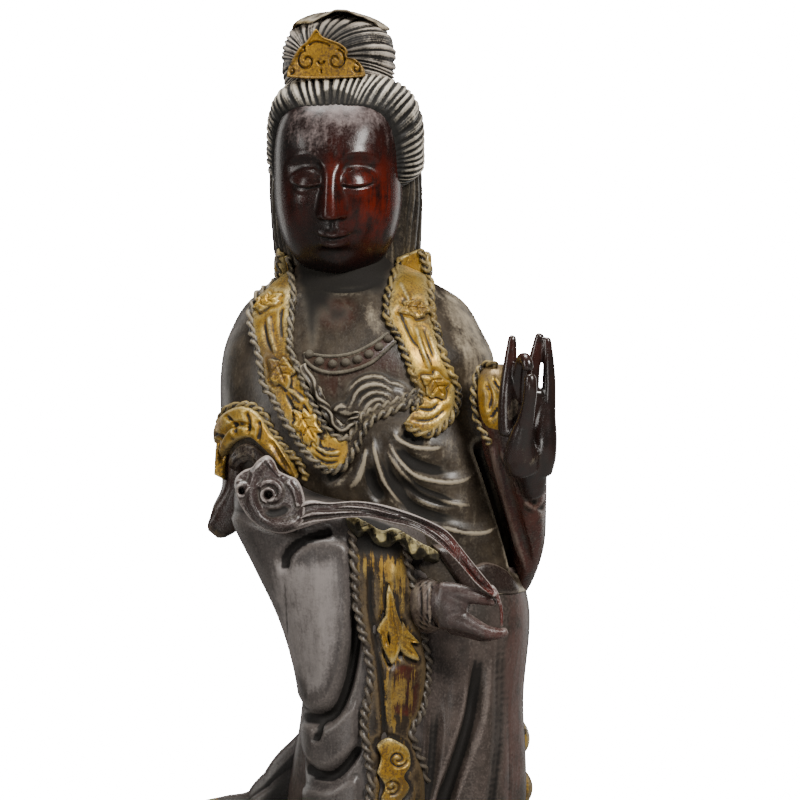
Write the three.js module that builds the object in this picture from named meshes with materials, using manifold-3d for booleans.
// A standing Guanyin carved in wood, lacquered and gilt, with a ruyi sceptre, on a low lotus plinth.
// Sizes are millimetres, +Z is up and the figure faces -Y. The origin is the centre of the plinth's underside.
import * as THREE from "three";
import { mergeVertices } from "three/addons/utils/BufferGeometryUtils.js";
import Module from "manifold-3d";

const wasm = await Module();
wasm.setup();

// Driving sizes
const FIGURE_HEIGHT = 464; // sole to the top of the topknot
const PLINTH_HEIGHT = 30;
const PLINTH_LENGTH = 164;
const PLINTH_DEPTH = 136;
const PLINTH_FOOT_HEIGHT = 8;
const PETAL_RISE = 3;
const PETALS = 14;

// The carving is laid out in parts, 464 to the figure's height, and keeps its proportions at any height.
const PARTS_IN_HEIGHT = 464;

const lacquer = new THREE.MeshStandardMaterial({ color: 0x2a1d19, roughness: 0.45, metalness: 0 });
const plinthLacquer = new THREE.MeshStandardMaterial({ color: 0x241a17, roughness: 0.5, metalness: 0 });

const VIEW_DEPTH = new THREE.Vector3(0, 1, 0);
const UPRIGHT = new THREE.Vector3(0, 0, 1);

// Values between the rows of a table, on a smooth curve through them. A row starts with its place.
function tableCurve(rows) {
  const slope = rows.map((row, i) => {
    const before = rows[Math.max(i - 1, 0)];
    const after = rows[Math.min(i + 1, rows.length - 1)];
    return row.map((_, k) => (after[k] - before[k]) / (after[0] - before[0]));
  });
  return (place) => {
    let i = rows.findIndex((row) => row[0] > place) - 1;
    if (i === -2) i = rows.length - 2;
    if (i < 0) i = 0;
    const [low, high] = [rows[i], rows[i + 1]];
    const span = high[0] - low[0];
    const t = THREE.MathUtils.clamp((place - low[0]) / span, 0, 1);
    const [t2, t3] = [t * t, t * t * t];
    return low.map((value, k) =>
      (2 * t3 - 3 * t2 + 1) * value + (t3 - 2 * t2 + t) * span * slope[i][k] +
      (3 * t2 - 2 * t3) * high[k] + (t3 - t2) * span * slope[i + 1][k]).slice(1);
  };
}

// Moves every corner of a geometry and keeps only its closed surface.
function moved(geometry, place) {
  const corners = geometry.attributes.position;
  const point = new THREE.Vector3();
  for (let i = 0; i < corners.count; i++) {
    place(point.fromBufferAttribute(corners, i));
    corners.setXYZ(i, point.x, point.y, point.z);
  }
  geometry.deleteAttribute("normal");
  geometry.deleteAttribute("uv");
  return mergeVertices(geometry, 1e-4);
}

function solidOf(geometry) {
  return new wasm.Manifold(new wasm.Mesh({
    numProp: 3,
    vertProperties: new Float32Array(geometry.attributes.position.array),
    triVerts: new Uint32Array(geometry.index.array),
  }));
}

function geometryOf(solid) {
  const mesh = solid.getMesh();
  const corners = new THREE.BufferAttribute(new Float32Array(mesh.vertProperties), 3);
  return new THREE.BufferGeometry()
    .setAttribute("position", corners)
    .setIndex(new THREE.BufferAttribute(new Uint32Array(mesh.triVerts), 1));
}

// How far a rounded rectangle reaches at an angle: squareness 2 is an ellipse, and more is squarer.
function roundedReach(angle, squareness) {
  const sum = Math.abs(Math.cos(angle)) ** squareness + Math.abs(Math.sin(angle)) ** squareness;
  return sum ** (-1 / squareness);
}

// An upright form from horizontal sections. A row is height, centre x, half width, centre y, half depth, squareness.
// Relief, in parts, swells the wall at an angle and height.
function upright(rows, around, levels, relief = () => 0) {
  const sectionAt = tableCurve(rows);
  const [low, high] = [rows[0][0], rows.at(-1)[0]];
  return solidOf(moved(new THREE.CylinderGeometry(1, 1, 1, around, levels), (p) => {
    const height = low + (p.y + 0.5) * (high - low);
    const share = Math.hypot(p.x, p.z);
    const angle = Math.atan2(-p.z, p.x);
    const [x, width, y, depth, squareness] = sectionAt(height);
    const reach = share * roundedReach(angle, squareness);
    const swell = share * relief(angle, height, x + width * reach * Math.cos(angle));
    p.set(
      x + (width * reach + swell) * Math.cos(angle),
      y + (depth * reach + swell) * Math.sin(angle),
      height,
    );
  }));
}

// A form swept along stations of x, y, z, half size across and half size along the reference axis.
// The section, a circle of radius 1, can be reshaped.
function limb(stations, around, steps, reference = VIEW_DEPTH, section = (p) => p) {
  const path = new THREE.CatmullRomCurve3(stations.map(([x, y, z]) => new THREE.Vector3(x, y, z)), false, "catmullrom");
  const sizeAt = tableCurve(stations.map(([, , , across, thick], i) => [i, across, thick]));
  const last = stations.length - 1;
  return solidOf(moved(new THREE.CylinderGeometry(1, 1, 1, around, steps), (p) => {
    const t = p.y + 0.5;
    section(p);
    const along = path.getTangent(t);
    const side = new THREE.Vector3().crossVectors(along, reference).normalize();
    const deep = new THREE.Vector3().crossVectors(side, along);
    const [across, thick] = sizeAt(t * last);
    const centre = path.getPoint(t);
    p.copy(centre.addScaledVector(side, p.x * across).addScaledVector(deep, p.z * thick));
  }));
}

function ball([x, y, z], [rx, ry, rz], around, rings) {
  return solidOf(moved(new THREE.SphereGeometry(1, around, rings), (p) => {
    p.set(x + rx * p.x, y - ry * p.z, z + rz * p.y);
  }));
}

function joined(solids) {
  return solids.reduce((whole, solid) => whole.add(solid));
}

const smooth = THREE.MathUtils.smoothstep;

// Robes from the hem to the neck
const ROBE_ROWS = [
  [0, 0, 51, 2, 41, 2.2],
  [14, 0, 48.5, 2, 39, 2.2],
  [60, 2, 43, 2, 36, 2.2],
  [110, 4, 43.5, 2, 36, 2.2],
  [148, 8.5, 46, 1, 37, 2.2],
  [188, 11.2, 43, 0, 37, 2.2],
  [222, 11.3, 46.6, 0, 37, 2.2],
  [244, 8, 46, 0, 36, 2.2],
  [268, 2, 50, 0, 37, 2.3],
  [288, -8, 56, 0, 39, 2.3],
  [308, -12.5, 53.5, 1, 39, 2.3],
  [324, -10.8, 54.5, 1, 37, 2.3],
  [336, -11.6, 49.9, 2, 33, 2.2],
  [348, -11.8, 42.6, 3, 27, 2.1],
  [356, -12, 30, 4, 22, 2],
  [364, -16, 18.5, 3, 18, 2],
  [382, -17, 17, 0, 17, 2],
];
const SKIRT_FOLDS = 9;
const SKIRT_FOLD_RISE = 1.9;
const SKIRT_TOP = 236;

function skirtRelief(angle, height) {
  const depth = SKIRT_FOLD_RISE * (1 - smooth(height, SKIRT_TOP - 70, SKIRT_TOP));
  return depth * Math.cos(SKIRT_FOLDS * angle + 0.9 + 0.006 * height);
}

const robeSection = tableCurve(ROBE_ROWS);

// The y of a form's front wall at x and height
function frontOf(sectionAt) {
  return (x, height) => {
    const [centre, width, y, depth, squareness] = sectionAt(height);
    const aside = Math.min(Math.abs(x - centre) / width, 0.98);
    return y - depth * (1 - aside ** squareness) ** (1 / squareness);
  };
}
const robeFront = frontOf(robeSection);

// A raised fold, hem or band that follows a front wall through points of x and height
function ridge(points, halfWidth, rise, front = robeFront, around = 4, section = undefined) {
  const stations = points.map(([x, height, wide = 1], i) => {
    const end = i === 0 || i === points.length - 1 ? 0.55 : 1;
    return [x, front(x, height), height, halfWidth * wide * end, rise * end];
  });
  return limb(stations, around, points.length - 1, VIEW_DEPTH, section);
}

// A band with a raised cord along both edges
const CORD_LIFT = 1.5;
function cordedBand(points, halfWidth, rise, front = robeFront) {
  return ridge(points, halfWidth, rise, front, 8, (p) => {
    if (Math.abs(p.x) > 0.5 && Math.abs(p.z) > 0.5) p.set(Math.sign(p.x) * 0.82, p.y, p.z * CORD_LIFT);
    else if (Math.abs(p.z) > 0.9) p.z *= 0.8;
  });
}

// Folds that sweep over the chest and belly from the knot, as points of x and height
const CHEST_FOLDS = [
  [[6, 294], [14, 290], [22, 289], [28, 290.5]],
  [[0, 292], [6, 280], [16, 273], [27, 270], [38, 273.5]],
  [[-2, 288], [4, 274], [14, 265], [26, 261.5], [37, 263]],
  [[10, 256], [20, 252], [32, 250], [40, 251], [45, 254]],
  [[-5, 298], [-10, 286], [-16, 278]],
];
const KNOT_CENTRE = [-4, 300];
const KNOT_RADII = [17, 12, 7.5];

function knotArc(radius) {
  const points = [];
  for (let i = 0; i <= 5; i++) {
    const angle = Math.PI * (0.05 + 0.18 * i);
    points.push([KNOT_CENTRE[0] + radius * Math.cos(angle), KNOT_CENTRE[1] + 0.9 * radius * Math.sin(angle)]);
  }
  return ridge(points, 1.3, 1.6);
}

// The gilt stole over both shoulders, corded at both edges. The longer side turns up under the knot.
const LEFT_STOLE = [
  [-41, 354], [-45, 345], [-44.6, 334], [-42, 320], [-36, 307], [-29, 296], [-20.5, 288.5], [-12, 289, 0.85],
  [-4, 294.5, 0.8], [4, 301, 0.8], [14, 304.5, 0.8],
];
const RIGHT_STOLE = [[9, 357], [10.5, 345], [14.8, 328], [19.6, 314], [21, 303]];
const LEFT_STOLE_HALF_WIDTH = 8.2;
const RIGHT_STOLE_HALF_WIDTH = 9.6;

function stole() {
  return [
    cordedBand(LEFT_STOLE, LEFT_STOLE_HALF_WIDTH, 2.6),
    cordedBand(RIGHT_STOLE, RIGHT_STOLE_HALF_WIDTH, 2.6),
    limb([
      [-40, -10, 352, 2, 4], [-41.5, 2, 363, 2.4, 9], [-35, 17, 362, 2.4, 8], [-14, 23, 360, 2.4, 7],
      [8, 17, 361, 2.4, 7], [15.5, 3, 361, 2.4, 7], [14, -9, 354, 2, 4],
    ], 6, 8, UPRIGHT),
  ];
}

// Necklace on the bare chest
const NECKLACE = [[-34, 329], [-27, 325.5], [-18, 323.6], [-9, 325], [-2, 328.5], [3, 333]];

// Head, in its own frame: x to the figure's left, y back and z up, turned a little towards the sceptre
const HEAD_CENTRE = new THREE.Vector3(-16.2, -4, 396);
const HEAD_TURN = THREE.MathUtils.degToRad(-9);
const HEAD_NOD = THREE.MathUtils.degToRad(5);
const FACE = { centre: [0, -5, -2], radii: [24.6, 25, 37] };
const HAIR = { centre: [0, 3, 9.5], radii: [31.6, 31, 32] };
const HAIR_SQUARENESS = 0.38;
const HAIR_OPENING = { x: 25, z: 35, centreZ: -5.5, back: -4 };
const HAIR_LOCKS = 14;
const HAIR_LOCK_RISE = 0.8;

// Distance from the head's centre to an ellipsoid's skin in a direction
function skin({ centre, radii }, direction) {
  const d = new THREE.Vector3(direction.x / radii[0], direction.y / radii[1], direction.z / radii[2]);
  const c = new THREE.Vector3(centre[0] / radii[0], centre[1] / radii[1], centre[2] / radii[2]);
  const [a, b] = [d.lengthSq(), d.dot(c)];
  return (b + Math.sqrt(b * b - a * (c.lengthSq() - 1))) / a;
}

// A soft bump of the face about a place, with its reach across and up
function bump(x, z, placeX, placeZ, acrossReach, upReach) {
  return Math.exp(-(((x - placeX) / acrossReach) ** 2) - ((z - placeZ) / upReach) ** 2);
}

function faceRelief(x, z) {
  const side = Math.abs(x);
  const bridge = smooth(-z, -8, 14) * (1 - smooth(-z, 14.5, 17.5));
  const nose = (2 + 5 * bridge) * bridge * Math.exp(-((x / (2.6 + 1.4 * bridge)) ** 2));
  const sockets = -2.2 * bump(side, z, 9.5, 2, 6.5, 4.5);
  const lids = 1.6 * bump(side, z, 9.8, -0.5, 4.5, 2.6);
  const brows = 1.1 * bump(side, z, 10, 8.5, 9, 2.2);
  const lips = 2 * bump(x, z, 0, -23.5, 5, 2.6);
  const chin = 2 * bump(x, z, 0, -34, 7, 4.5);
  return nose + sockets + lids + brows + lips + chin;
}

function head() {
  const turn = new THREE.Euler(HEAD_NOD, 0, HEAD_TURN, "ZXY");
  return solidOf(moved(new THREE.SphereGeometry(1, 2 * HAIR_LOCKS, 19), (p) => {
    const direction = new THREE.Vector3(p.x, -p.z, p.y).normalize();
    const face = skin(FACE, direction);
    const [x, y, z] = [direction.x * face, direction.y * face, direction.z * face];
    const inside = (x / HAIR_OPENING.x) ** 2 + ((z - HAIR_OPENING.centreZ) / HAIR_OPENING.z) ** 2;
    const open = (1 - smooth(inside, 0.9, 1.08)) * (1 - smooth(y, HAIR_OPENING.back - 2, HAIR_OPENING.back + 2));
    const spread = Math.hypot(direction.x, direction.y);
    const lock = HAIR_LOCK_RISE * spread * Math.cos(HAIR_LOCKS * Math.atan2(direction.y, direction.x));
    const square = Math.max(Math.abs(direction.z), spread) ** -HAIR_SQUARENESS;
    const hair = skin(HAIR, direction) * square + lock;
    const chinOrHair = z < -20 ? face : hair;
    p.copy(direction).multiplyScalar(open * (face + faceRelief(x, z)) + (1 - open) * chinOrHair);
    p.applyEuler(turn).add(HEAD_CENTRE);
  }));
}

// Hair that falls behind the face to the nape
const NAPE_ROWS = [
  [338, -14, 15, 14, 8, 2],
  [350, -14, 23, 12, 12, 2],
  [362, -14.8, 27.8, 10, 16, 2],
  [378, -15, 28.8, 9, 19, 2],
  [396, -15.6, 27.6, 8, 20, 2],
  [404, -16, 20, 8, 16, 2],
];

// The topknot, with the waving hem of its thin cap, and the crown in front
const TOPKNOT = { centre: [-18.6, 6, 446], radii: [23.4, 21, 18] };
const TOPKNOT_LOCKS = 10;
const CAP_WAVES = 5;
const CAP_WAVE_RISE = 1.2;
const CROWN_BASE = 437;
const CROWN_HALF_WIDTH = 17;
const CROWN_HEIGHT = 20;

function topknot() {
  const { centre, radii } = TOPKNOT;
  return solidOf(moved(new THREE.SphereGeometry(1, 2 * TOPKNOT_LOCKS, 8), (p) => {
    const reach = Math.hypot(p.x, p.z);
    const around = Math.atan2(p.z, p.x);
    const square = Math.max(Math.abs(p.y), reach) ** -0.25;
    const capped = p.y > 0.7 && reach > 0.3;
    const share = capped ? 1.12 + 0.05 * Math.cos(CAP_WAVES * around) : 1 + 0.03 * Math.cos(TOPKNOT_LOCKS * around) * reach;
    p.set(
      centre[0] + radii[0] * p.x * share * square,
      centre[1] - radii[1] * p.z * share * square,
      centre[2] + radii[2] * p.y + (capped ? CAP_WAVE_RISE * Math.cos(CAP_WAVES * around + 1) : 0),
    );
  }));
}

function crown() {
  const half = CROWN_HALF_WIDTH;
  const outline = new THREE.Shape();
  outline.moveTo(-half, 0);
  outline.quadraticCurveTo(-half, 0.38 * CROWN_HEIGHT, -0.66 * half, 0.34 * CROWN_HEIGHT);
  outline.quadraticCurveTo(-0.72 * half, 0.72 * CROWN_HEIGHT, -0.3 * half, 0.76 * CROWN_HEIGHT);
  outline.quadraticCurveTo(-0.1 * half, 0.84 * CROWN_HEIGHT, 0, CROWN_HEIGHT);
  outline.quadraticCurveTo(0.1 * half, 0.84 * CROWN_HEIGHT, 0.3 * half, 0.76 * CROWN_HEIGHT);
  outline.quadraticCurveTo(0.72 * half, 0.72 * CROWN_HEIGHT, 0.66 * half, 0.34 * CROWN_HEIGHT);
  outline.quadraticCurveTo(half, 0.38 * CROWN_HEIGHT, half, 0);
  const plate = new THREE.ExtrudeGeometry(outline, { depth: 8, bevelEnabled: false, curveSegments: 3 });
  return solidOf(moved(plate, (p) => {
    const bend = (0.011 * p.x) * p.x;
    const [x, y] = [p.x, -16 - p.z + bend];
    p.set(-18.8 + x * Math.cos(HEAD_TURN) - y * Math.sin(HEAD_TURN),
      6 + x * Math.sin(HEAD_TURN) + y * Math.cos(HEAD_TURN), CROWN_BASE - 1 + p.y);
  }));
}

// The long sleeve that hangs from the figure's right forearm, and the gilt band down its opening
const SLEEVE_ROWS = [
  [80, -5, 13, -28, 14, 2.2],
  [100, -6, 19, -27, 19, 2.3],
  [130, -7, 22, -26, 21, 2.3],
  [160, -7.5, 23.5, -26, 22, 2.3],
  [180, -7.4, 24.2, -26, 23, 2.4],
  [200, -7.8, 25.8, -26, 24, 2.4],
  [222, -11, 28.8, -26, 26, 2.4],
  [244, -16, 34, -26, 27, 2.4],
  [262, -22, 36.5, -26, 25, 2.4],
  [276, -31, 29, -25, 21, 2.3],
  [286, -36, 21, -24, 15, 2.2],
];
const sleeveSection = tableCurve(SLEEVE_ROWS);
const sleeveFront = frontOf(sleeveSection);
const SWAG_HEMS = [
  [[-31.5, 192], [-29.5, 181], [-23, 172.5], [-16, 174], [-11.5, 185], [-9.5, 205]],
  [[-31.5, 176], [-29, 162], [-22, 152], [-14, 156], [-9, 170]],
  [[-30, 150], [-27, 137], [-20, 128], [-12, 132], [-8, 144]],
  [[-27, 122], [-24, 112], [-17, 104], [-9, 108]],
];
const SLEEVE_BAND = [
  [-2.4, 249], [1, 228], [4.6, 208], [5.6, 188], [4.5, 168], [4.5, 148], [3.5, 124, 0.9], [1.5, 102, 0.75], [-2, 86],
];
const SLEEVE_BAND_HALF_WIDTH = 11.5;

function sleeve() {
  return [
    upright(SLEEVE_ROWS, 20, 12),
    ...SWAG_HEMS.map((points) => ridge(points, 1.7, 2.6, sleeveFront)),
    cordedBand(SLEEVE_BAND, SLEEVE_BAND_HALF_WIDTH, 3, sleeveFront),
  ];
}

// Mantle hems: the pointed corner behind the elbow, the train that blows out, and the ruffle opposite
function mantleHems() {
  return [
    limb([[-57, -2, 306, 8, 9], [-57.6, -4, 284, 7.5, 9], [-58.6, -5, 272, 6.8, 7], [-62.5, -6, 262, 7.4, 5],
      [-68.5, -7, 255, 5.4, 2.4]], 7, 4),
    limb([[-58, -20, 302, 7, 7], [-62, -14, 290, 5, 8], [-56, -30, 284, 4, 6]], 6, 4),
    limb([
      [-20, 8, 154, 15, 14], [-36, 6, 147.5, 19.5, 12], [-52, 4, 142, 15.5, 8], [-65, 2, 140.5, 12, 5.5],
      [-77.5, 0, 141, 6.5, 3],
    ], 10, 7),
    limb([[49, 6, 181, 4, 8], [52, 5, 172, 5.2, 7], [51, 4, 162, 3.6, 6], [53, 3, 153, 5.4, 6],
      [51, 3, 145, 4.4, 5], [53, 3, 134, 5.2, 5], [51, 3, 119, 4, 4], [48, 3, 106, 3, 4]], 6, 9),
  ];
}

// The figure's right hand, with its cuff, and the sceptre that it steadies
const SCEPTRE_PATH = [
  [-49, -54, 262, 4.5, 4], [-40, -56, 255, 6, 4.5], [-30, -57.5, 257.5, 6, 4.5], [-18, -59, 262, 5.5, 4.5],
  [-2, -60, 265.5, 4.8, 4], [14, -60, 262, 4.2, 3.6], [28, -59, 251, 3.4, 3], [38, -58, 240, 2.6, 2.4],
  [47, -57.5, 229.5, 1.4, 1.6],
];

function sceptre() {
  const cloud = new THREE.Shape();
  cloud.moveTo(-46, 285.5);
  cloud.quadraticCurveTo(-50, 280, -56, 278);
  cloud.quadraticCurveTo(-61, 272, -58, 264);
  cloud.quadraticCurveTo(-55, 258, -50, 256);
  cloud.quadraticCurveTo(-42, 248, -36, 254);
  cloud.quadraticCurveTo(-31, 262, -33, 272);
  cloud.quadraticCurveTo(-36, 279, -41, 279);
  cloud.quadraticCurveTo(-44, 281, -46, 285.5);
  const plate = new THREE.ExtrudeGeometry(cloud, {
    depth: 12, bevelEnabled: true, bevelThickness: 2, bevelSize: 1.2, bevelOffset: -1.2, bevelSegments: 1,
    curveSegments: 3,
  });
  return [
    solidOf(moved(plate, (p) => p.set(p.x, -46 - p.z, p.y))),
    ball([-41.5, -59.5, 268], [6, 3.5, 7], 8, 5),
    ball([-54.5, -58.5, 270.5], [3.4, 3, 4.6], 6, 4),
    limb(SCEPTRE_PATH, 7, 11),
    limb([[45.5, -57.5, 232, 1.1, 1.1], [48, -57.5, 224, 0.9, 0.9], [48.2, -57.5, 215.5, 0.9, 0.9]], 5, 4),
  ];
}

function rightHand() {
  return [
    limb([[0, -38, 226, 11, 10], [11, -45, 226, 12, 9], [17.5, -50, 226, 12, 7], [19.5, -51, 226, 10.5, 5.5]], 10, 3),
    limb([[14, -50, 227, 8, 5.5], [20, -53, 227, 8.3, 5.2], [27, -54.5, 226, 7.2, 4.6], [33, -55.5, 224.5, 5, 3.6]], 8, 3),
    limb([[28, -55.5, 230, 3, 3], [36, -56.5, 229.6, 2.6, 2.6], [42, -57, 228.6, 2.2, 2.2], [46.5, -57.2, 227.5, 1, 1]], 6, 4),
    limb([[28, -56, 222.5, 3.4, 3], [36, -57.5, 218.8, 2.8, 2.6], [43, -58, 215.8, 2.4, 2.4], [50, -58, 216.6, 1.1, 1.1]], 6, 4),
    limb([[28, -51, 222, 3.2, 3], [35, -52, 219, 2.6, 2.6], [41, -53, 216.6, 2.2, 2.2], [46, -53.5, 216.8, 1, 1]], 6, 4),
  ];
}

// The figure's left forearm in its sleeve, with the raised hand: middle finger curled to the thumb
const FOREARM_ROWS = [
  [234, 56, 2.8, -4, 9, 2],
  [250, 56.2, 6, -13, 14, 2.1],
  [268, 54, 9, -22, 16, 2.2],
  [284, 51.6, 11.4, -30, 16, 2.2],
  [300, 49, 12.4, -35, 14, 2.2],
  [311, 45, 9.4, -36, 12, 2.1],
  [319, 43.4, 5, -35, 8, 2],
];
const LEFT_FINGERS = [
  [[54, -48, 296, 3, 2.8], [51.4, -50, 310, 2.5, 2.5], [50, -50.5, 322, 2, 2], [49.3, -50.5, 333.6, 0.8, 0.8]],
  [[57.6, -47, 298, 2.7, 2.6], [57, -47, 311, 2.4, 2.4], [57.6, -47.5, 323, 1.9, 1.9], [58.8, -48, 335, 0.8, 0.8]],
  [[61, -47, 295, 2.7, 2.6], [62.4, -48, 308, 2.4, 2.4], [62, -48.5, 319, 1.9, 1.9], [61.4, -49, 330, 0.8, 0.8]],
  [[55.4, -49, 298, 2.5, 2.5], [53.6, -52, 310, 2.3, 2.3], [53, -56, 316, 2.3, 2.3], [54.2, -59.6, 312.5, 2.1, 2.1],
    [55.4, -60, 308, 1.4, 1.4]],
  [[56, -50, 280, 3.6, 3.4], [55.6, -56.5, 290, 2.7, 2.7], [55.2, -60, 300, 2.2, 2.2], [55.4, -60.5, 307.5, 1.4, 1.4]],
];

function leftArm() {
  return [
    upright(FOREARM_ROWS, 12, 6),
    limb([[50, -30, 246, 4, 6], [41, -36, 290, 4, 6], [40, -34, 316, 2.4, 5]], 6, 5),
    limb([[57, -36, 262, 5, 5], [57, -43, 276, 5.2, 4.8], [57.4, -47, 287, 6.5, 4], [57.5, -48, 300, 6, 3]], 8, 4),
    ...LEFT_FINGERS.map((finger) => limb(finger, 6, 5)),
  ];
}

// Shoe tips under the hem
function feet() {
  return [-19, 17].map((x) => ball([x, -36, 5.5], [10, 16, 7.5], 8, 5));
}

// The figure is cut flat at its soles.
function figure() {
  const whole = joined([
    upright(ROBE_ROWS, 36, 25, skirtRelief),
    head(),
    upright(NAPE_ROWS, 14, 6),
    topknot(), crown(),
    ...CHEST_FOLDS.map((points) => ridge(points, 1.6, 2)),
    ...KNOT_RADII.map(knotArc),
    ...stole(), ridge(NECKLACE, 2.6, 1.8), ...sleeve(), ...mantleHems(), ...sceptre(), ...rightHand(), ...leftArm(), ...feet(),
  ]);
  const below = solidOf(moved(new THREE.BoxGeometry(400, 400, 50), (p) => p.setZ(p.z - 25)));
  const mesh = new THREE.Mesh(geometryOf(whole.subtract(below)), lacquer);
  mesh.name = "guanyin_figure";
  mesh.scale.setScalar(FIGURE_HEIGHT / PARTS_IN_HEIGHT);
  mesh.position.z = PLINTH_HEIGHT;
  return mesh;
}

// Plinth: a plain foot, a hollow and a ring of lotus petals under the flat top
const PLINTH_PROFILE = [
  [0, 1], [1, 1], [1.001, 0.93], [1.35, 0.9], [1.8, 0.96], [2.6, 0.97], [2.9, 0.93], [3, 0.93],
];

function plinth() {
  const around = PETALS * 4;
  const petalZone = PLINTH_HEIGHT - PLINTH_FOOT_HEIGHT;
  const wall = PLINTH_PROFILE.map(([stage, share]) =>
    [stage <= 1 ? stage * PLINTH_FOOT_HEIGHT : PLINTH_FOOT_HEIGHT + petalZone * (stage - 1) / 2, share, stage]);
  const rounds = new THREE.CylinderGeometry(1, 1, 1, around, wall.length - 1);
  const mesh = new THREE.Mesh(moved(rounds, (p) => {
    const [height, share, stage] = wall[Math.round((p.y + 0.5) * (wall.length - 1))];
    const reach = Math.hypot(p.x, p.z);
    const angle = Math.atan2(-p.z, p.x);
    const petal = Math.abs(Math.cos(PETALS * angle / 2));
    const swell = PETAL_RISE * (petal - 1) * smooth(stage, 1.3, 1.7) * (1 - smooth(stage, 2.5, 2.9));
    p.set(
      reach * (PLINTH_LENGTH / 2 * share + swell) * Math.cos(angle),
      reach * (PLINTH_DEPTH / 2 * share + swell) * Math.sin(angle),
      height,
    );
  }), plinthLacquer);
  mesh.name = "lotus_plinth";
  return mesh;
}

const guanyin = new THREE.Group();
guanyin.add(figure(), plinth());

export default guanyin;
